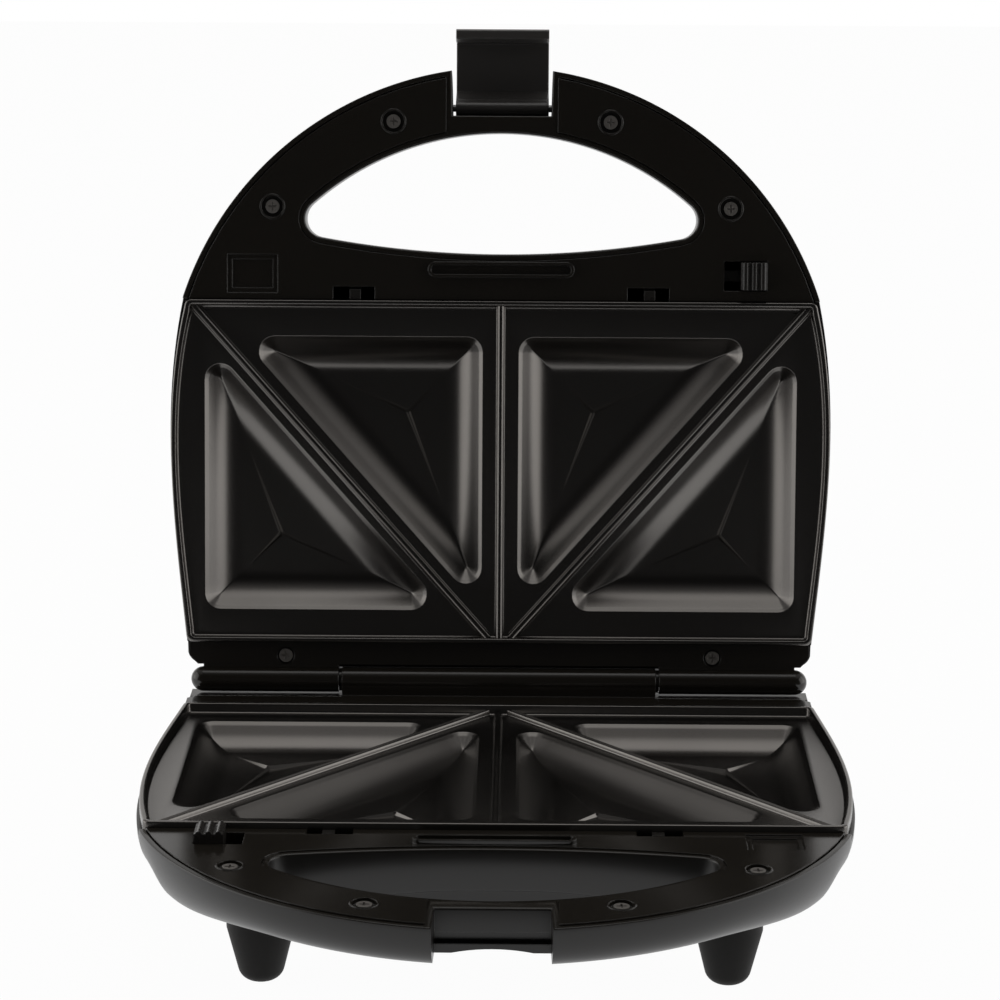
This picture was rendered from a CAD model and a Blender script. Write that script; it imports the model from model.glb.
import bmesh
import bpy
import numpy as np
from mathutils import Matrix, Vector


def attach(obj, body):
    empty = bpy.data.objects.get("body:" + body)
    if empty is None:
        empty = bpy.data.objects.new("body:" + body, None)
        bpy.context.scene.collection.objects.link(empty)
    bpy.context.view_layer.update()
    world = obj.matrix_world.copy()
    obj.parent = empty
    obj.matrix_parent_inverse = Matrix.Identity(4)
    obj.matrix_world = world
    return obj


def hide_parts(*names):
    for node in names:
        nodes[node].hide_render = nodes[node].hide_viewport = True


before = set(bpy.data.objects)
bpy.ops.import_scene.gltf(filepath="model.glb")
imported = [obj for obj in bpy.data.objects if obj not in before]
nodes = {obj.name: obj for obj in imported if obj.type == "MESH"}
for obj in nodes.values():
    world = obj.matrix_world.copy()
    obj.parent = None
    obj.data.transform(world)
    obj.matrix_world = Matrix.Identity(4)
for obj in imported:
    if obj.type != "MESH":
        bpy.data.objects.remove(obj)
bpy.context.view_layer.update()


# ---- Base and lid shells ----
# Each half is one moulding of satin black heat-resistant plastic: a deep belly behind, a slim
# half-round handle in front, a finger hole, and a notch for the clip. The lid is the same
# moulding turned over, with two lamp holes; the base has the groove that the clip hooks in.

# millimetres: the hinge axis lies hinge_h above the plane where the closed halves part
hinge_y, parting_z, hinge_h, open_angle = 74.0, 55.0, 4.05, np.radians(99.2)
# depths of the shell's edge and of the frame's underside, and where the handle's face starts
shell_rim, frame_low, face_start = 2.5, 7.0, 134.6


def in_half(points, half):
    """Puts points of a closed half, given as x, v = distance in front of the hinge axis and
    d = depth from the parting plane, in the row frame in metres. The base's depth hangs down;
    the lid's depth rises and is turned back about the hinge axis by the opening angle."""
    p = np.asarray(points, float)
    x, v, d = p[..., 0], p[..., 1], p[..., 2]
    if half == "base":
        y, z = hinge_y - v, parting_z - d
    else:
        r = d - hinge_h
        y = hinge_y - v * np.cos(open_angle) + r * np.sin(open_angle)
        z = parting_z + hinge_h + v * np.sin(open_angle) + r * np.cos(open_angle)
    return np.stack([x, y, z], -1) * 0.001


def new_piece(name, points, faces):
    """A mesh object from an array of points and a list of faces."""
    mesh = bpy.data.meshes.new(name)
    mesh.from_pydata(np.asarray(points, float).tolist(), [], [list(map(int, f)) for f in faces])
    mesh.validate()
    piece = bpy.data.objects.new(name, mesh)
    bpy.context.scene.collection.objects.link(piece)
    finish_edges(piece)
    return piece


def finish_edges(piece, smooth=30.0):
    """Smooth shading, with the edges that turn more than the given angle kept sharp."""
    mesh = piece.data
    mesh.polygons.foreach_set("use_smooth", np.ones(len(mesh.polygons), bool))
    mesh.set_sharp_from_angle(angle=np.radians(smooth))
    mesh.update()


def grid_faces(rows, cols, start=0):
    """Quads between neighbouring rows of a grid whose rows are closed rings."""
    r = np.arange(rows - 1)[:, None] * cols
    c = np.arange(cols)[None, :]
    n = (c + 1) % cols
    return np.stack([r + c, r + cols + c, r + cols + n, r + n], -1).reshape(-1, 4) + start


# plan of the body: half width behind, rear wall, and the front as one arc that starts beside
# the plate; the long sides run from the plate's rear edge to its front edge
body_half, rear_wall, arc_r, arc_centre, arc_start = 110.5, 5.2, 117.5, 98, 135.5
plate_back, plate_front = 13.6, 134.3
side_bulge, bulge_lean, front_spread = 21.2, 0.8, 1.1


def side_x(s):
    """Half width of a long side at share s of its length: straight, plus a parabola bulge
    side_bulge * s * (1 - s) that leans to the front by 1 + bulge_lean * (s - 1/2)."""
    return body_half + side_bulge * s * (1 - s) * (1 + bulge_lean * (s - 0.5))


def ease(t):
    """Smooth step 3 t^2 - 2 t^3 between 0 and 1."""
    t = np.clip(t, 0, 1)
    return t * t * (3 - 2 * t)


# a belly: where its rise to the handle starts, over what length, and how much less its sides
# rise than its middle; then the roll's widest, its least, and the length of its last ease
base_belly = (102.6, 48, 4.2, 33.7, 8.9, 21.3)
lid_belly = (129, 28, 0, 33, 8, 32)
body_depth, handle_rise, rear_roll, roll_turn, round_share = 37, 20.4, 8, 130, 0.88


def depth_at(o, belly):
    """Depth of the underside at plan points (x, v): the body's depth less the handle's rise,
    eased in along v. Towards the sides the rise is less by the belly's lag, except in the
    handle."""
    x, v = np.abs(o[:, 0]), o[:, 1]
    start, length, lag = belly[:3]
    held = lag * ease((x - 10.9) / 68.3) * (1 - ease((v - 150) / 40))
    return body_depth - ease((v - start) / length) * (handle_rise - held)


def roll_at(v, belly):
    """How far the underside is rolled in: small at the rear, wide at the belly's sides, small
    again round the handle."""
    wide, least, stretch = belly[3:]
    growing = rear_roll + (wide - rear_roll) * ease((v - 8) / 92)
    return np.where(v < roll_turn, growing, wide - (wide - least) * ease((v - roll_turn) / stretch))


handle_start = np.arcsin((arc_start - arc_centre) / arc_r)


def body_outline(d, k=0.0, belly=base_belly, corner=8, side=26, front=72):
    """Closed plan outline of the body drawn in by d and by the share k of each place's roll:
    rear corners as arcs that keep a small radius, long sides as side_x, the front as one arc."""
    def pull(v):
        return d + np.maximum(0, roll_at(v, belly) - d / 2) * k
    d0 = float(pull(np.array(0.0)))
    r = max(1.6, 5 - 0.6 * d0)
    v0 = max(plate_back, rear_wall + d0 + r + 1)
    a = np.radians(np.linspace(-90, -14, corner))
    rear = np.stack([body_half - d0 - r + r * np.cos(a), rear_wall + d0 + r * (1 + np.sin(a))], 1)
    s = np.linspace(0, 1, side)
    run = plate_front - plate_back
    slope = (side_x(s + 0.01) - side_x(s - 0.01)) / (0.02 * run)
    turn = np.arctan2(-slope, 1.0)
    turn = turn + (handle_start - turn) * ease((s - 0.8) / 0.2)
    e = pull(plate_back + run * s)
    sides = np.stack([side_x(s) + front_spread * s ** 4 - np.cos(turn) * e,
                      v0 + (plate_front - v0) * s - np.sin(turn) * e], 1)
    a = np.linspace(handle_start, np.pi / 2, front)
    e = pull(arc_centre + arc_r * np.sin(a))
    arc = np.stack([(arc_r - e) * np.cos(a), arc_centre + (arc_r - e) * np.sin(a)], 1)
    arc[-1, 0] = 0
    half = np.concatenate([rear, sides, arc])
    return np.concatenate([half, half[-2::-1] * [-1, 1]])


def body_loft(drawn, floor, top, turns, belly):
    """Closed solid between a flat top and the rolled underside: outlines drawn in by
    drawn + roll * (1 - cos f) at depth deep - fall + fall * sin f, for f from 0 to 90 degrees,
    closed below by strips that run straight across."""
    rows = []
    for d, z in top:
        o = body_outline(d)
        rows.append(np.column_stack([o, np.full(len(o), z)]))
    for f in np.radians(turns):
        o = body_outline(drawn, 1 - np.cos(f), belly)
        deep = depth_at(o, belly) - floor
        fall = (deep - shell_rim) * round_share
        rows.append(np.column_stack([o, deep - fall + fall * np.sin(f)]))
    n = len(rows[0])
    points = np.concatenate(rows)
    faces = grid_faces(len(rows), n).tolist()
    faces.append(list(range(n)))
    last = (len(rows) - 1) * n
    half = (n + 1) // 2
    i = np.arange(half - 2)
    across = np.stack([last + i, last + n - 1 - i, last + n - 2 - i, last + i + 1], -1)
    faces += across.tolist()
    faces.append([last + half - 2, last + half, last + half - 1])
    return points, faces


# the finger hole: place and radius of its round ends, its rear edge in the middle, and its
# front arc; the rear arc's radius makes it touch the round ends
hole_x, hole_v, hole_r, hole_back = 62, 162.6, 6.6, 150.4
front_centre, front_r = 92, 100.6
sag = hole_v - hole_back
rear_r = (hole_x ** 2 + sag ** 2 - hole_r ** 2) / (2 * (sag - hole_r))
rear_centre = hole_back + rear_r


def hole_outline(d, back=24, end=14, front=40):
    """Closed plan outline of the finger hole grown by d: a nearly flat rear arc, two round
    ends and a wide front arc, all tangent."""
    low = np.arctan2(hole_v - rear_centre, hole_x)
    high = np.arctan2(hole_v - front_centre, hole_x)
    a = np.linspace(-np.pi / 2, low, back, endpoint=False)
    rear = np.stack([(rear_r + d) * np.cos(a), rear_centre + (rear_r + d) * np.sin(a)], 1)
    a = np.linspace(low, high, end, endpoint=False)
    ends = np.stack([hole_x + (hole_r + d) * np.cos(a), hole_v + (hole_r + d) * np.sin(a)], 1)
    a = np.linspace(high, np.pi / 2, front)
    arc = np.stack([(front_r + d) * np.cos(a), front_centre + (front_r + d) * np.sin(a)], 1)
    rear[0, 0] = arc[-1, 0] = 0
    half = np.concatenate([rear, ends, arc])
    return np.concatenate([half, half[-2:0:-1] * [-1, 1]])


notch_half, notch_back, notch_spread = 17.2, 198.6, 0.86
# the cutting shapes end outside the body, in front of it and beside it
past_front, past_side = 232, 130


def notch_outline(d):
    """Plan outline of the clip notch shrunk by d; it opens a little to the front."""
    w, v = notch_half - d, notch_back + d
    mouth = w + notch_spread
    return np.array([[-w, v], [w, v], [mouth, past_front], [-mouth, past_front]])


def prism(rings):
    """Closed solid through a stack of equal outlines given as (outline, depth or depths)."""
    rows = [np.column_stack([o, np.broadcast_to(z, len(o))]) for o, z in rings]
    n = len(rows[0])
    faces = grid_faces(len(rows), n).tolist()
    faces += [list(range(n)), list(range((len(rows) - 1) * n, len(rows) * n))[::-1]]
    return np.concatenate(rows), faces


def outward(piece):
    """Turns all faces of a closed piece outwards."""
    b = bmesh.new()
    b.from_mesh(piece.data)
    bmesh.ops.remove_doubles(b, verts=b.verts, dist=1e-5)
    bmesh.ops.recalc_face_normals(b, faces=b.faces)
    b.to_mesh(piece.data)
    b.free()


def solid(name, made):
    """A closed piece from made, a pair of points and faces, with its faces turned outwards."""
    piece = new_piece(name, *made)
    outward(piece)
    return piece


def carved(piece, cutters):
    """The piece with the cutting shapes taken out of it, as one mesh."""
    for tool in cutters:
        step = piece.modifiers.new("cut", "BOOLEAN")
        step.operation, step.solver, step.object = "DIFFERENCE", "EXACT", tool
    bpy.context.view_layer.update()
    mesh = bpy.data.meshes.new_from_object(piece.evaluated_get(bpy.context.evaluated_depsgraph_get()))
    piece.modifiers.clear()
    old, piece.data = piece.data, mesh
    bpy.data.meshes.remove(old)
    for tool in cutters:
        bpy.data.objects.remove(tool)
    finish_edges(piece)
    return piece


def placed(piece, half, smooth=30.0):
    """Moves a piece made in a closed half's millimetres to its place in the row frame."""
    mesh = piece.data
    p = np.empty(3 * len(mesh.vertices))
    mesh.vertices.foreach_get("co", p)
    p = in_half(p.reshape(-1, 3), half)
    mesh.vertices.foreach_set("co", p.ravel())
    if half == "lid":
        mesh.flip_normals()
    mesh.update()
    finish_edges(piece, smooth)
    return piece


def copy_of(piece, name):
    """A second piece of the same shape, with a mesh of its own."""
    twin = bpy.data.objects.new(name, piece.data.copy())
    bpy.context.scene.collection.objects.link(twin)
    return twin


def punch(name, outline, top=-3, bottom=60):
    """A solid with one plan outline, carried straight down between two depths."""
    return solid(name, prism([(outline, top), (outline, bottom)]))


def box_solid(name, low, high):
    """A plain block between two corners in a half's x, v, d, used to cut with."""
    x, v, d = np.stack([low, high]).T
    return punch(name, np.array([[x[0], v[0]], [x[1], v[0]], [x[1], v[1]], [x[0], v[1]]]), *d)


shell_wall, shell_floor, edge_round = 3.4, 2.4, 0.3
# the rim left round the frame, the finger hole and the notch; the wall beside the notch in the
# cavity; and how much farther back the rim goes behind the notch, as the bar
rim_w, notch_wall, bar_w = 2.0, 2.6, 9.5
# the rear strip's front edge, and the depth of the edge under the plate
strip_front, side_edge = 13.3, 4.8
# small flares of the openings' edges, as pairs of how far and at what depth
seat_flare = [(0.35, -1), (0.35, 2.5), (0.22, 2.58), (0.08, 2.73), (0, 2.95)]
hole_flare = [(0.6, -2), (0.6, 2.5), (0.35, 2.6), (0.12, 2.85), (0, 3.2)]
notch_flare = [(-0.5, -2), (-0.5, 2.5), (-0.28, 2.62), (-0.08, 2.85), (0, 3.2), (0, 60)]
rim_turn = np.radians([0, 22.5, 45, 67.5, 90])
rim_top = np.column_stack([edge_round * (1 - np.sin(rim_turn)),
                           shell_rim + edge_round * (1 - np.cos(rim_turn))])


def shell_moulding(name, belly):
    """One half's moulding with its cavity, frame seat, rear opening, finger hole and notch."""
    skin = solid(name, body_loft(0, 0, rim_top, np.linspace(0, 90, 19), belly))
    cavity = solid("cavity", body_loft(shell_wall, shell_floor, [(shell_wall, -1.0)],
                                       np.linspace(0, 90, 7), belly))
    block = notch_half + notch_wall
    cavity = carved(cavity, [punch("collar", hole_outline(rim_w)),
                             box_solid("block", (-block, hole_v, -3), (block, past_front, 60))])
    seat = solid("seat", prism([(body_outline(rim_w - e), z) for e, z in seat_flare]
                               + [(body_outline(rim_w), frame_low)]))
    seat = carved(seat, [punch("collar", hole_outline(rim_w)),
                         punch("block", notch_outline(-rim_w) - [0, bar_w])])
    rear = box_solid("rear", (-past_side, -20, -5), (past_side, strip_front, frame_low))
    o = hole_outline(0)
    under = depth_at(o, belly)
    hole = solid("hole", prism([(hole_outline(e), z) for e, z in hole_flare] + [
        (o, under - 1.2), (hole_outline(0.2), under - 0.5), (hole_outline(0.7), under - 0.05),
        (hole_outline(0.9), under + 3), (hole_outline(0.9), 60)]))
    notch = solid("notch", prism([(notch_outline(e), z) for e, z in notch_flare]))
    # along the sides the edge is lower, because the plate lies over it
    sides = box_solid("sides", (-past_side, strip_front - 0.1, -5), (past_side, face_start, side_edge))
    return carved(skin, [cavity, seat, rear, hole, notch, sides])


def rod(name, radius, start, end, sides=64):
    """A round bar between two points: the circle radius * (cos f, sin f), square to the line,
    at both ends, and straight between them."""
    a, b = np.array(start, float), np.array(end, float)
    t = (b - a) / np.linalg.norm(b - a)
    u = np.cross(t, [1, 0, 0] if abs(t[0]) < 0.9 else [0, 1, 0])
    u /= np.linalg.norm(u)
    w = np.cross(t, u)
    f = np.linspace(0, 2 * np.pi, sides, endpoint=False)[:, None]
    ring = radius * (np.cos(f) * u + np.sin(f) * w)
    p = np.concatenate([a + ring, b + ring])
    faces = grid_faces(2, sides).tolist() + [list(range(sides)), list(range(sides, 2 * sides))[::-1]]
    return solid(name, (p, faces))


# the base has the groove for the clip's hook, the cord's inlet, and a hollow under the bar
groove_x = notch_half + 0.02
inlet_x, inlet_d, inlet_r = 70, 20, 5.0
hollow_d, hollow_r = 77.4, 62
base_skin = carved(shell_moulding("base_skin", base_belly), [
    box_solid("groove", (-groove_x, 196.2, 10.2), (groove_x, 210, 13.7)),
    rod("inlet", inlet_r, (inlet_x, -6, inlet_d), (inlet_x, 14, inlet_d)),
    rod("hollow", hollow_r, (0, 194.2, hollow_d), (0, 203.2, hollow_d), 160)])
lamp_x, lamp_v, lamp_r = 12, 119.3, 3.4
lid_skin = carved(shell_moulding("lid_skin", lid_belly), [
    rod("lamp_hole", lamp_r, (s * lamp_x, lamp_v, 30), (s * lamp_x, lamp_v, 44)) for s in (-1, 1)])


def centres(piece):
    """Middle points of a piece's faces, as an array."""
    c = np.empty(3 * len(piece.data.polygons))
    piece.data.polygons.foreach_get("center", c)
    return c.reshape(-1, 3)


# faces of the handle's edge, which are polished like the frames beside them
edge_faces = {}
for skin in (base_skin, lid_skin):
    middle = centres(skin)
    edge_faces[skin.name] = (middle[:, 2] < shell_rim + 0.5) & (middle[:, 1] > face_start)
placed(base_skin, "base")
placed(lid_skin, "lid")
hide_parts("base_shell")
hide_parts("lid_shell")
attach(base_skin, "base")
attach(lid_skin, "lid")


def grained(name, colour, rough, spread, grain, bump, level=0.5, edge=0.0, metal=0.0):
    """A finish: the colour drifts a little in soft patches, the roughness varies with a fine
    grain, and the same grain raises the surface by a hair. edge rounds the shading of edges."""
    mat = bpy.data.materials.new(name)
    mat.use_nodes = True
    tree = mat.node_tree
    shader = tree.nodes["Principled BSDF"]
    place = tree.nodes.new("ShaderNodeTexCoord")
    patch, fine = tree.nodes.new("ShaderNodeTexNoise"), tree.nodes.new("ShaderNodeTexNoise")
    patch.inputs["Scale"].default_value, patch.inputs["Detail"].default_value = 22.0, 3.0
    fine.inputs["Scale"].default_value, fine.inputs["Detail"].default_value = grain, 4.0
    tint, sheen = tree.nodes.new("ShaderNodeMix"), tree.nodes.new("ShaderNodeMapRange")
    tint.data_type = "RGBA"
    tint.inputs[6].default_value = (*[c * 0.86 for c in colour], 1)
    tint.inputs[7].default_value = (*[c * 1.14 for c in colour], 1)
    sheen.inputs["To Min"].default_value = rough - spread
    sheen.inputs["To Max"].default_value = rough + spread
    raised = tree.nodes.new("ShaderNodeBump")
    raised.inputs["Strength"].default_value = 0.6
    raised.inputs["Distance"].default_value = bump
    link = tree.links.new
    for noise in (patch, fine):
        link(place.outputs["Object"], noise.inputs["Vector"])
    link(patch.outputs["Fac"], tint.inputs[0])
    link(tint.outputs[2], shader.inputs["Base Color"])
    link(fine.outputs["Fac"], sheen.inputs["Value"])
    link(sheen.outputs["Result"], shader.inputs["Roughness"])
    link(fine.outputs["Fac"], raised.inputs["Height"])
    if edge:
        round_off = tree.nodes.new("ShaderNodeBevel")
        round_off.samples = 4
        round_off.inputs["Radius"].default_value = edge
        link(round_off.outputs["Normal"], raised.inputs["Normal"])
    link(raised.outputs["Normal"], shader.inputs["Normal"])
    shader.inputs["Specular IOR Level"].default_value = level
    shader.inputs["Metallic"].default_value = metal
    return mat


def dress(piece, mat):
    """Gives a piece its finish and the record's material slot that the finish stands for."""
    piece.data.materials.clear()
    piece.data.materials.append(mat)


satin_black = grained("satin_black_moulding", (0.0085, 0.0077, 0.0069), 0.30, 0.03, 900, 0.000003,
                      level=0.45, edge=0.0005)
gloss_black = grained("gloss_black_moulding", (0.0150, 0.0130, 0.0105), 0.16, 0.03, 120, 0.000010,
                      edge=0.0005)
for piece in (base_skin, lid_skin):
    dress(piece, satin_black)
    piece.data.materials.append(gloss_black)
    piece.data.polygons.foreach_set("material_index", edge_faces[piece.name].astype(int))


# ---- Inlaid frames, rear strips and hinge knuckles ----
# Each half's open face is closed by a glossy black moulded frame that lies a little below the
# shell's edge. It carries the pressed pill rib, the sunk screw seats, the sunk square, the slot
# of the plate release and, at the rear, the strip and the hinge knuckles, joined by steel pins.

def dress_node(name, mat):
    """Gives a CAD piece its finish on every face."""
    mesh = nodes[name].data
    for i in range(max(1, len(mesh.materials))):
        if len(mesh.materials) <= i:
            mesh.materials.append(mat)
        mesh.materials[i] = mat


for name in ("base_frame", "lid_frame"):
    dress_node(name, gloss_black)
drawn_steel = grained("drawn_steel", (0.42, 0.42, 0.43), 0.34, 0.08, 700, 0.00001, metal=1.0)
dress_node("hinge_pins", drawn_steel)

# the lid's hood over the middle knuckle: a part of a ring about the hinge axis
hood_in, hood_out, hood_x = 4.75, 5.85, 57
hood_turn = np.radians(np.linspace(25, 75, 13))
ring = np.concatenate([np.column_stack([r * np.cos(t), hinge_h + r * np.sin(t)])
                       for r, t in ((hood_in, hood_turn), (hood_out, hood_turn[::-1]))])
n = len(ring)
ends = [np.column_stack([np.full(n, x), ring]) for x in (-hood_x, hood_x)]
hood_faces = grid_faces(2, n).tolist() + [list(range(n)), list(range(n, 2 * n))[::-1]]
hood = solid("hinge_hood", (np.concatenate(ends), hood_faces))
placed(hood, "lid")
dress(hood, gloss_black)
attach(hood, "lid")

# the base's aprons under the two outer knuckles, and its collars that fill the gaps between
# the middle knuckle and the outer ones, with a bore for the pin
apron_x, knuckle_x = (55.0, 109), (55.42, 56.5)
collar_r, bore_r = 3.95, 2.3
for s, side in ((-1, "left"), (1, "right")):
    near, far = sorted(s * x for x in apron_x)
    apron = box_solid(side + "_hinge_apron", (near, -3, 0.8), (far, 5.3, 2.8))
    collar = rod(side + "_hinge_collar", collar_r, *[(s * x, 0, -hinge_h) for x in knuckle_x])
    carved(collar, [rod("bore", bore_r, (s * 50, 0, -hinge_h), (s * 60, 0, -hinge_h))])
    for piece in (apron, collar):
        placed(piece, "base")
        dress(piece, gloss_black)
        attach(piece, "base")


# ---- Grill plates ----
# Two aluminium castings with a dark non-stick coating. Each has a raised rim, a middle ridge and
# two slanted ridges with fine double edges, and four triangular pockets whose steep slopes run
# out into shallow floors with three fine ribs.

# depth of the land between the pockets and thickness of the casting, and the middle line of
# the right slanted ridge
land, cast_t = 3.5, 2.1
ridge_a, ridge_b = np.array([3.6, 15.0]), np.array([108.3, 132.9])
ridge_dir = (ridge_b - ridge_a) / np.linalg.norm(ridge_b - ridge_a)


def ridge_x(v):
    """Where the slanted ridge's middle line is at v."""
    return ridge_a[0] + (v - ridge_a[1]) * ridge_dir[0] / ridge_dir[1]


def ridge_v(x):
    """Where the slanted ridge's middle line is at x."""
    return ridge_a[1] + (x - ridge_a[0]) * ridge_dir[1] / ridge_dir[0]


# the right pockets before their corners are rounded: each has a right-angled corner, and its
# long side lies parallel to the ridge's middle line, ridge_clear away from it
outer_x, outer_v, inner_x, inner_v, ridge_clear = 103.8, 25.1, 6.5, 121.3, 5
outer_pocket = np.array([[outer_x, outer_v],
                         [outer_x, ridge_v(outer_x) - ridge_clear / ridge_dir[0]],
                         [ridge_x(outer_v) + ridge_clear / ridge_dir[1], outer_v]])
inner_pocket = np.array([[inner_x, inner_v],
                         [inner_x, ridge_v(inner_x) + ridge_clear / ridge_dir[0]],
                         [ridge_x(inner_v) - ridge_clear / ridge_dir[1], inner_v]])


def incircle(t):
    """Incentre and inradius of a triangle, from its side lengths."""
    l = np.array([np.linalg.norm(t[(i + 1) % 3] - t[(i + 2) % 3]) for i in range(3)])
    c = (t * l[:, None]).sum(0) / l.sum()
    u, w = t[1] - t[0], t[2] - t[0]
    return c, abs(u[0] * w[1] - u[1] * w[0]) / l.sum()


def pocket_ring(t, inset, radius, arc=9, side=22):
    """Outline parallel to triangle t, inset from its sides, with rounded corners: three arcs
    about centres on the corner bisectors, joined by straight runs."""
    c, r = incircle(t)
    mid = c + (t - c) * (1 - (inset + radius) / r)
    runs = []
    for i in range(3):
        before, after = t[i] - t[(i + 2) % 3], t[(i + 1) % 3] - t[i]
        turn = np.sign(before[0] * after[1] - before[1] * after[0])
        a0 = np.arctan2(-before[0] * turn, before[1] * turn)
        a1 = np.arctan2(-after[0] * turn, after[1] * turn)
        a = np.linspace(a0, a0 + (a1 - a0 + np.pi) % (2 * np.pi) - np.pi, arc)
        runs.append(mid[i] + radius * np.stack([np.cos(a), np.sin(a)], 1))
    rows = []
    for i in range(3):
        rows.append(runs[i])
        s = np.linspace(0, 1, side + 2)[1:-1, None]
        rows.append(runs[i][-1] + s * (runs[(i + 1) % 3][0] - runs[i][-1]))
    return np.concatenate(rows)


def out_to(ring, centre, cell):
    """Each point of a ring carried straight out from the centre to the edge of a polygon, with
    the nearest point moved into each corner."""
    d = ring - centre
    best = np.full(len(d), np.inf)
    for a, b in zip(cell, np.roll(cell, -1, 0)):
        e = b - a
        det = d[:, 0] * -e[1] + d[:, 1] * e[0]
        q = a - centre
        with np.errstate(divide="ignore", invalid="ignore"):
            t = (q[0] * -e[1] + q[1] * e[0]) / det
            u = (d[:, 0] * q[1] - d[:, 1] * q[0]) / det
        best = np.where((t > 1e-6) & (u > -1e-6) & (u < 1 + 1e-6) & (t < best), t, best)
    out = centre + d * best[:, None]
    for corner in cell:
        out[np.argmin(np.linalg.norm(out - corner, axis=1))] = corner
    return out


# width and depth of a pocket's slope, the straight share of it, and how much the floor still
# falls to its middle
slope_w, pocket_d, straight, floor_fall = 13.0, 8.0, 0.25, 0.15


def fall(k):
    """Share of the depth reached at share k of the slope's width: straight, then round as
    1 - (1 - k)^2 / (1 - straight^2)."""
    return np.where(k <= straight, 2 * k / (1 + straight), 1 - (1 - k) ** 2 / (1 - straight ** 2))


def pan(t, cell):
    """One pocket with the flat land round it: rings from the edge of its part of the plate over
    a small rounded brink, down a straight slope that runs out round, and over a nearly flat
    floor; the same rings, grown and lowered by the casting's thickness, close it below."""
    c, r = incircle(t)
    brink = [(-0.5, 0.0), (-0.28, 0.03), (-0.08, 0.14), (0.1, 0.33)]
    k = np.concatenate([[0.06, 0.1, 0.17], np.linspace(straight, 1, 19)])
    slope = np.column_stack([slope_w * k, pocket_d * fall(k)]).tolist()
    rest = r - slope_w
    floor = [(slope_w + rest * s, pocket_d + floor_fall * s) for s in (0.12, 0.3, 0.5, 0.7, 0.85, 0.95)]

    def ring_at(inset, deep, corner, least):
        o = pocket_ring(t, inset, min(max(corner - inset, least), 0.97 * (r - inset)))
        return np.column_stack([o, np.full(len(o), land + deep)])

    rows = [ring_at(inset, deep, 5.4, 0.4) for inset, deep in brink + slope + floor]
    edge_ring = out_to(rows[0][:, :2], c, cell)
    rows.insert(0, np.column_stack([edge_ring, np.full(len(edge_ring), land)]))
    n = len(rows[0])
    top = np.concatenate(rows + [np.array([[c[0], c[1], land + pocket_d + floor_fall + 0.01]])])
    below = [(-2.3, 0.0), (-0.4, 1.2), (3.6, 4.4), (slope_w - 2, pocket_d),
             (r - 1.5, pocket_d + floor_fall)]
    low = [rows[0] + [0, 0, cast_t]]
    low += [ring_at(inset, cast_t + deep, 6.4, 0.5) for inset, deep in below]
    low = np.concatenate(low + [np.array([[c[0], c[1], land + cast_t + pocket_d + floor_fall + 0.05]])])
    faces = grid_faces(len(rows), n).tolist()
    last, tip = (len(rows) - 1) * n, len(rows) * n
    i = np.arange(n)
    faces += np.stack([last + i, np.full(n, tip), last + (i + 1) % n], -1).tolist()
    start = len(top)
    under = grid_faces(len(below) + 1, n, start)[:, ::-1].tolist()
    last, tip = start + len(below) * n, start + (len(below) + 1) * n
    under += np.stack([last + (i + 1) % n, np.full(n, tip), last + i], -1).tolist()
    side = np.stack([i, (i + 1) % n, start + (i + 1) % n, start + i], -1).tolist()
    return np.concatenate([top, low]), faces + under + side


def swept(a, b, profile, taper=None):
    """Closed bar: a profile of (sideways, depth) points carried from a to b in plan. taper
    gives the scale of the profile at even steps along the way."""
    a, b = np.array(a, float), np.array(b, float)
    t = (b - a) / np.linalg.norm(b - a)
    side = np.array([-t[1], t[0]])
    profile = np.array(profile, float)
    scale = np.ones(2) if taper is None else np.array(taper, float)
    foot = profile[:, 1].max()
    rows = []
    for s, k in zip(np.linspace(0, 1, len(scale)), scale):
        flat = a + (b - a) * s + profile[:, :1] * k * side
        rows.append(np.column_stack([flat, foot + (profile[:, 1] - foot) * k]))
    n = len(profile)
    faces = grid_faces(len(rows), n).tolist()
    faces += [list(range(n))[::-1], list(range((len(rows) - 1) * n, len(rows) * n))]
    return np.concatenate(rows), faces


# clearance of the plate's sides inside the body's
plate_clear = 0.4


def plate_edge(d, side=30, corner=6):
    """Closed plan outline of a plate drawn in by d: side_x less the plate's clearance, corners
    cut by small arcs."""
    c = max(0.5, 2.4 - d * 0.6)
    v0, v1 = plate_back + d, plate_front - d
    s = np.linspace(0.02, 0.98, side)
    sides = np.stack([side_x(s) - plate_clear - d, v0 + (v1 - v0) * s], 1)
    a = np.radians(np.linspace(0, 90, corner))
    x0, x1 = sides[0, 0], sides[-1, 0]
    low = np.stack([x0 - c + c * np.sin(a), v0 + c - c * np.cos(a)], 1)
    high = np.stack([x1 - c + c * np.cos(a), v1 - c + c * np.sin(a)], 1)
    sides = sides[(sides[:, 1] > v0 + c) & (sides[:, 1] < v1 - c)]
    # every outline gets the same number of points along the side
    way = np.concatenate([low[-1:], sides, high[:1]])
    k = np.linspace(0, 1, side)[1:-1]
    body = np.stack([np.interp(k, np.linspace(0, 1, len(way)), way[:, i]) for i in (0, 1)], 1)
    run = np.linspace(0, 1, 12)[:, None]
    front = high[-1] + run[1:] * (np.array([0, v1]) - high[-1])
    back = np.array([0, v0]) + run[:-1] * (low[0] - np.array([0, v0]))
    half = np.concatenate([back, low, body, high, front])
    return np.concatenate([half, half[-2:0:-1] * [-1, 1]])


def rectangle_like(o, x, v0, v1):
    """The points of an outline pressed on to a rectangle of half width x from v0 to v1."""
    return np.column_stack([np.clip(o[:, 0], -x, x), np.clip(o[:, 1], v0, v1)])


# the rectangle of the land inside the rim
land_x, land_v = 105.5, (17.2, 130.7)


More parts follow.
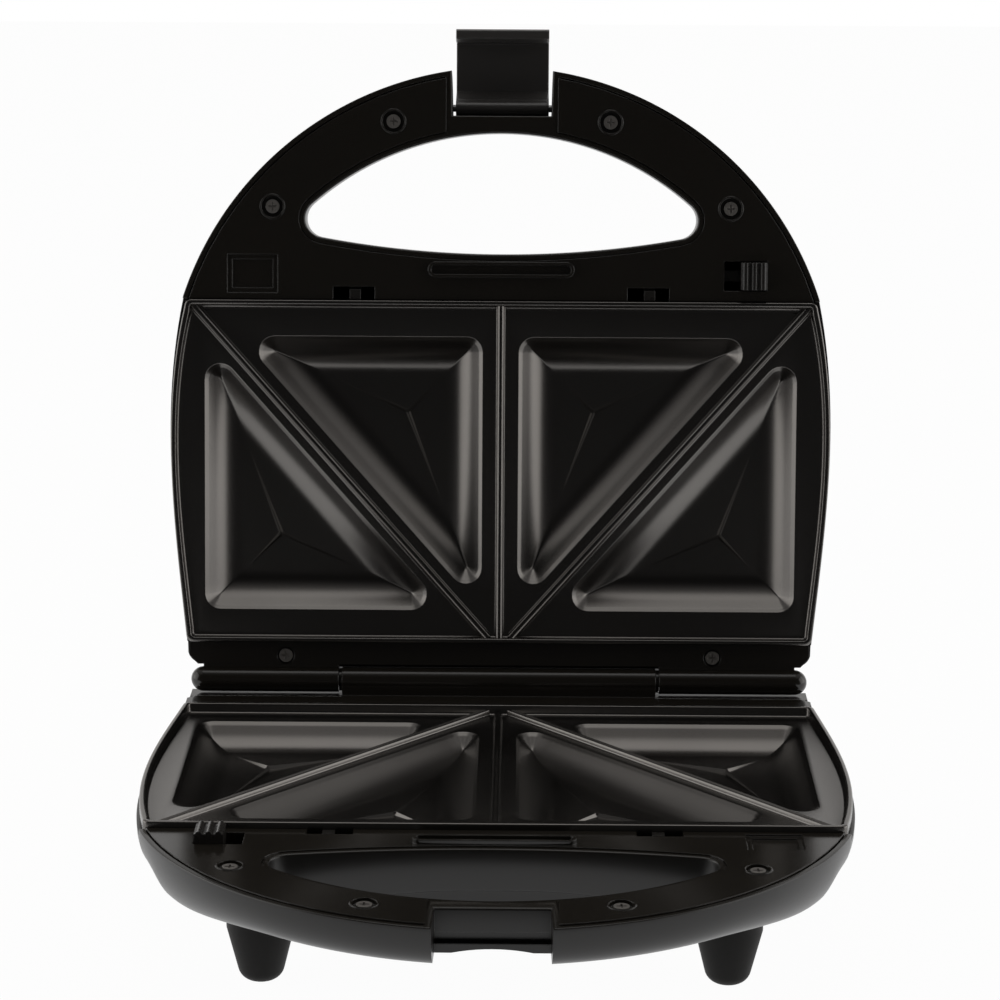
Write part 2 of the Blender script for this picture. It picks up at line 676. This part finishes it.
def plate_rim():
    """The raised edge as a closed ring: up the outer wall, over a rounded lip, down to the land
    with a small fillet, and in to the edge of the pockets' part of the plate."""
    fillet_in = 2.7
    profile = [(0.35, 4.5), (0.0, 4.2), (0.0, 0.75), (0.12, 0.4), (0.35, 0.2), (0.7, 0.15), (1.1, 0.15),
               (1.45, 0.2), (1.68, 0.4), (1.8, 0.75), (1.86, 2.7), (2.0, 3.1), (2.3, 3.38),
               (fillet_in, land)]
    flat = rectangle_like(plate_edge(fillet_in), land_x, *land_v)
    rings = [(plate_edge(d), z) for d, z in profile]
    rings += [(flat, land), (flat, land + cast_t), (plate_edge(3.4), land + cast_t)]
    rows = [np.column_stack([o, np.full(len(o), z)]) for o, z in rings]
    n = len(rows[0])
    points = np.concatenate(rows)
    faces = grid_faces(len(rows), n).tolist()
    i = np.arange(n)
    last = (len(rows) - 1) * n
    faces += np.stack([last + i, i, (i + 1) % n, last + (i + 1) % n], -1).tolist()
    return points, faces


def together(parts):
    """Several sets of points and faces as one."""
    points, faces, start = [], [], 0
    for p, f in parts:
        points.append(p)
        faces += [[int(k) + start for k in g] for g in f]
        start += len(p)
    return np.concatenate(points), faces


def mirrored(part):
    """Points and faces of the left side from those of the right side."""
    p, f = part
    return p * [-1, 1, 1], [list(g)[::-1] for g in f]


cut_x, cut_v = ridge_x(land_v[0]), ridge_v(land_x)
# the four parts of the land stay a hair apart under the ridges and inside the rim
gap = 0.02
cell_x, cell_back, cell_front, joint = land_x - gap, land_v[0] + gap, land_v[1] - gap, 0.3
outer_cell = np.array([[cell_x, cell_back], [cell_x, cut_v - joint], [cut_x + joint, cell_back]])
inner_cell = np.array([[joint, cell_front], [cell_x, cell_front], [cell_x, cut_v + joint],
                       [cut_x - joint, cell_back], [joint, cell_back]])
# a ridge: two thin raised edges with a shallow hollow between them
crest = [(-2.1, 3.9), (-2.0, 3.46), (-1.55, 3.4), (-1.3, 3.2), (-1.2, 2.9), (-1.14, 1.95),
         (-0.98, 1.68), (-0.78, 1.6), (-0.56, 1.75), (-0.3, 2.0)]
crest += [(-x, z) for x, z in crest[::-1]]
# a rib stands this much above the pocket's floor and runs half way to the corner, ever lower
rib_h = 1.0
rib = [(x, z + land + pocket_d - rib_h) for x, z in
       [(-1.1, 1.6), (-0.5, 0.6), (-0.15, 0.0), (0.15, 0.0), (0.5, 0.6), (1.1, 1.6)]]
ridge_back, ridge_front = 15.3, 132.6
parts = [plate_rim(), swept((0, ridge_back), (0, ridge_front), crest)]
for t, cell in ((outer_pocket, outer_cell), (inner_pocket, inner_cell)):
    quarter = [pan(t, cell)]
    c, r = incircle(t)
    for corner in t:
        way = (corner - c) * 0.5
        quarter.append(swept(c - way * 0.02, c + way, rib, np.linspace(1, 0.3, 9)))
    quarter = together(quarter)
    parts += [quarter, mirrored(quarter)]
slant = swept(ridge_a + ridge_dir * 0.6, ridge_b - ridge_dir * 0.8, crest)
parts += [slant, mirrored(slant)]
lower_cast = solid("lower_cast", together(parts))
upper_cast = copy_of(lower_cast, "upper_cast")
coated = grained("non_stick_coating", (0.150, 0.143, 0.136), 0.25, 0.02, 1500, 0.000002, metal=1.0)
for piece, half, node in ((lower_cast, "base", "lower_plate"), (upper_cast, "lid", "upper_plate")):
    placed(piece, half, 38)
    dress(piece, coated)
    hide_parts(node)
    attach(piece, half)


# ---- Heating parts and wiring points inside ----
# Under each plate lie a bent tubular heater, its clips and a pressed reflector tray. The base
# also holds the thermostat, the thermal fuse, the terminal block and the cord's inlet bush.

ceramic = grained("white_ceramic", (0.72, 0.70, 0.65), 0.55, 0.06, 500, 0.00003)
black_rubber = grained("black_rubber", (0.012, 0.012, 0.012), 0.62, 0.08, 800, 0.00004)
for half in ("lower", "upper"):
    for name in ("_heating_element", "_element_clips", "_reflector"):
        dress_node(half + name, drawn_steel)
dress_node("thermal_fuse", drawn_steel)
for name in ("thermostat", "terminal_block"):
    dress_node(name, ceramic)
dress_node("cord_inlet_bush", black_rubber)


# ---- Screws ----
# Blackened pan-head screws with cross recesses hold the frames to the posts of the shells and
# the lid's rear strip to its hinge.

black_steel = grained("blackened_steel", (0.260, 0.245, 0.230), 0.34, 0.05, 600, 0.00001,
                      level=0.7, edge=0.0002, metal=0.6)
for name in ("base_frame_screws", "lid_frame_screws", "hinge_strip_screws"):
    dress_node(name, black_steel)


# ---- Plate releases ----
# A moulded slide in each half: a ribbed thumb block in a slot of the frame, with a bar and two
# hooks under the frame that hold the plate's tongues. A steel spring pushes it back.

slide_black = grained("slide_moulding", (0.018, 0.0165, 0.015), 0.28, 0.05, 300, 0.00001, edge=0.0005)
for half in ("lower", "upper"):
    dress_node(half + "_release_slide", slide_black)
    dress_node(half + "_catch_spring", drawn_steel)


# ---- Clip ----
# A moulded clip that turns on a steel pin across the lid's notch and hooks under the bar of
# the base. It stands open above the lid.

clip_black = grained("clip_moulding", (0.045, 0.042, 0.040), 0.34, 0.04, 500, 0.000004,
                     level=0.9, edge=0.0008)
dress_node("latch", clip_black)
dress_node("latch_pin", drawn_steel)


# ---- Pilot lamps ----
# Two small red lenses on the lid's back light up while the plates heat. A small ceramic holder
# behind them carries the lamps.

lens_red = grained("lens_red", (0.42, 0.03, 0.02), 0.12, 0.03, 60, 0.00001)
dress_node("pilot_lamp_lenses", lens_red)
dress_node("lamp_holder", ceramic)


# ---- Feet ----
# Four moulded feet under the belly, tapered towards the ground, matte black.

foot_black = grained("foot_moulding", (0.008, 0.0075, 0.007), 0.60, 0.06, 700, 0.00002, level=0.2)
# radius over height: a small flat tip, a round turn, and a straight taper up into the skin
tip_r, turn_r, top_r, foot_h, foot_x, points = 2.6, 4.9, 10.9, 18, 74.3, 72
foot_turn = np.radians(np.linspace(-90, -12, 9))
profile = [(0, 0)] + list(zip(tip_r + turn_r * np.cos(foot_turn), turn_r * (1 + np.sin(foot_turn))))
around = np.linspace(0, 2 * np.pi, points, endpoint=False)
for where, v, reach in (("front", 128, 34), ("rear", 20, 20)):
    shape = profile + [(top_r, foot_h), (top_r + 0.1, reach), (0, reach)]
    for s, side in ((-1, "left"), (1, "right")):
        rings = [np.column_stack([s * foot_x + r * np.cos(around), v + r * np.sin(around),
                                  np.full(points, parting_z - h)]) for r, h in shape]
        foot = solid(where + "_" + side + "_foot_moulding",
                     (np.concatenate(rings), grid_faces(len(rings), points).tolist()))
        # the foot ends within the skin, so that nothing of it stands in the base's cavity
        inside = solid("inside", body_loft(1.4, 1.2, [(1.4, -1.0)], np.linspace(0, 90, 7), base_belly))
        carved(foot, [inside])
        placed(foot, "base")
        dress(foot, foot_black)
        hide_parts(where + "_" + side + "_foot")
        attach(foot, "base")


# ---- Floor, light and camera ----
# A white floor under and behind the toaster, soft side and top lights, and the camera of the
# photograph, a little above the plates and straight in front.

floor_x, floor_front, floor_back = 3.0, -0.42, 3.0
floor = new_piece("floor", [(-floor_x, floor_front, 0), (floor_x, floor_front, 0),
                            (floor_x, floor_back, 0), (-floor_x, floor_back, 0)], [[0, 1, 2, 3]])
paper = bpy.data.materials.new("white_paper")
paper.use_nodes = True
tree = paper.node_tree
shader = tree.nodes["Principled BSDF"]
shader.inputs["Base Color"].default_value = (0.8, 0.8, 0.8, 1)
shader.inputs["Roughness"].default_value = 0.9
glow, seen, mixed = (tree.nodes.new("ShaderNodeEmission"), tree.nodes.new("ShaderNodeLightPath"),
                     tree.nodes.new("ShaderNodeMixShader"))
glow.inputs["Strength"].default_value = 1.0
# the camera and the reflections see the paper nearly as plain white
either = tree.nodes.new("ShaderNodeMath")
either.operation, either.use_clamp = "ADD", True
fade = tree.nodes.new("ShaderNodeMath")
fade.operation = "MULTIPLY"
fade.inputs[1].default_value = 0.97
tree.links.new(seen.outputs["Is Camera Ray"], either.inputs[0])
tree.links.new(seen.outputs["Is Glossy Ray"], either.inputs[1])
tree.links.new(either.outputs[0], fade.inputs[0])
tree.links.new(fade.outputs[0], mixed.inputs[0])
tree.links.new(shader.outputs[0], mixed.inputs[1])
tree.links.new(glow.outputs[0], mixed.inputs[2])
tree.links.new(mixed.outputs[0], tree.nodes["Material Output"].inputs["Surface"])
floor.data.materials.append(paper)

world = bpy.data.worlds.new("studio")
bpy.context.scene.world = world
world.use_nodes = True
tree = world.node_tree
tree.nodes.clear()
out = tree.nodes.new("ShaderNodeOutputWorld")
air, backdrop, mixed = (tree.nodes.new("ShaderNodeBackground"), tree.nodes.new("ShaderNodeBackground"),
                        tree.nodes.new("ShaderNodeMixShader"))
seen = tree.nodes.new("ShaderNodeLightPath")
way, split = tree.nodes.new("ShaderNodeTexCoord"), tree.nodes.new("ShaderNodeSeparateXYZ")
tree.links.new(way.outputs["Generated"], split.inputs[0])


def eased(value, low, high, start, end):
    """Output that eases from start, where the value is low, to end, where it is high."""
    step = tree.nodes.new("ShaderNodeMapRange")
    step.interpolation_type = "SMOOTHSTEP"
    step.inputs["From Min"].default_value = low
    step.inputs["From Max"].default_value = high
    step.inputs["To Min"].default_value = start
    step.inputs["To Max"].default_value = end
    tree.links.new(value, step.inputs["Value"])
    return step.outputs["Result"]


# the room in front of the toaster is dark and its ceiling dim, and the rest is white
both = tree.nodes.new("ShaderNodeMath")
both.operation = "MULTIPLY"
tree.links.new(eased(split.outputs["Y"], -0.75, 0.1, 0.035, 1.0), both.inputs[0])
tree.links.new(eased(split.outputs["Z"], 0.15, 0.60, 1.0, 0.4), both.inputs[1])
tree.links.new(both.outputs[0], air.inputs["Strength"])
air.inputs["Color"].default_value = (1, 0.985, 0.97, 1)
backdrop.inputs["Color"].default_value = (1, 1, 1, 1)
tree.links.new(seen.outputs["Is Camera Ray"], mixed.inputs[0])
tree.links.new(air.outputs[0], mixed.inputs[1])
tree.links.new(backdrop.outputs[0], mixed.inputs[2])
tree.links.new(mixed.outputs[0], out.inputs["Surface"])


def soft_light(name, place, aim, size, power):
    """A square soft box at a place in metres, turned to face the aim."""
    lamp = bpy.data.lights.new(name, "AREA")
    lamp.size, lamp.energy = size, power
    lamp.color = (1, 0.985, 0.96)
    box = bpy.data.objects.new(name, lamp)
    box.location = place
    box.rotation_euler = (Vector(aim) - Vector(place)).to_track_quat("-Z", "Y").to_euler()
    bpy.context.scene.collection.objects.link(box)


for s, side in ((-1, "left"), (1, "right")):
    soft_light(side + "_box", (s * 1.3, -0.1, 0.4), (0, 0, 0.15), 1.3, 5.5)
soft_light("top_box", (0, 0.2, 1.4), (0, 0, 0.1), 1.0, 2.5)

lens = bpy.data.cameras.new("photo_camera")
camera = bpy.data.objects.new("photo_camera", lens)
bpy.context.scene.collection.objects.link(camera)
lens.sensor_width, lens.lens = 36.0, 111.85
lens.clip_start, lens.clip_end = 0.05, 20
# the camera looks along y, is turned by yaw, pitch and roll, and then moved to its place
camera_place = (0.00784, -0.97644, 0.39422)
yaw, pitch, roll = np.radians([0.421, -14.372, -0.274])
aim = Matrix.Rotation(yaw, 3, "Z") @ Matrix.Rotation(pitch, 3, "X") @ Matrix.Rotation(roll, 3, "Y")
right, ahead, up = aim.col
look = Matrix([[right[i], up[i], -ahead[i]] for i in range(3)])
camera.matrix_world = Matrix.Translation(camera_place) @ look.to_4x4()
bpy.context.scene.camera = camera
bpy.context.scene.view_settings.view_transform = "Standard"
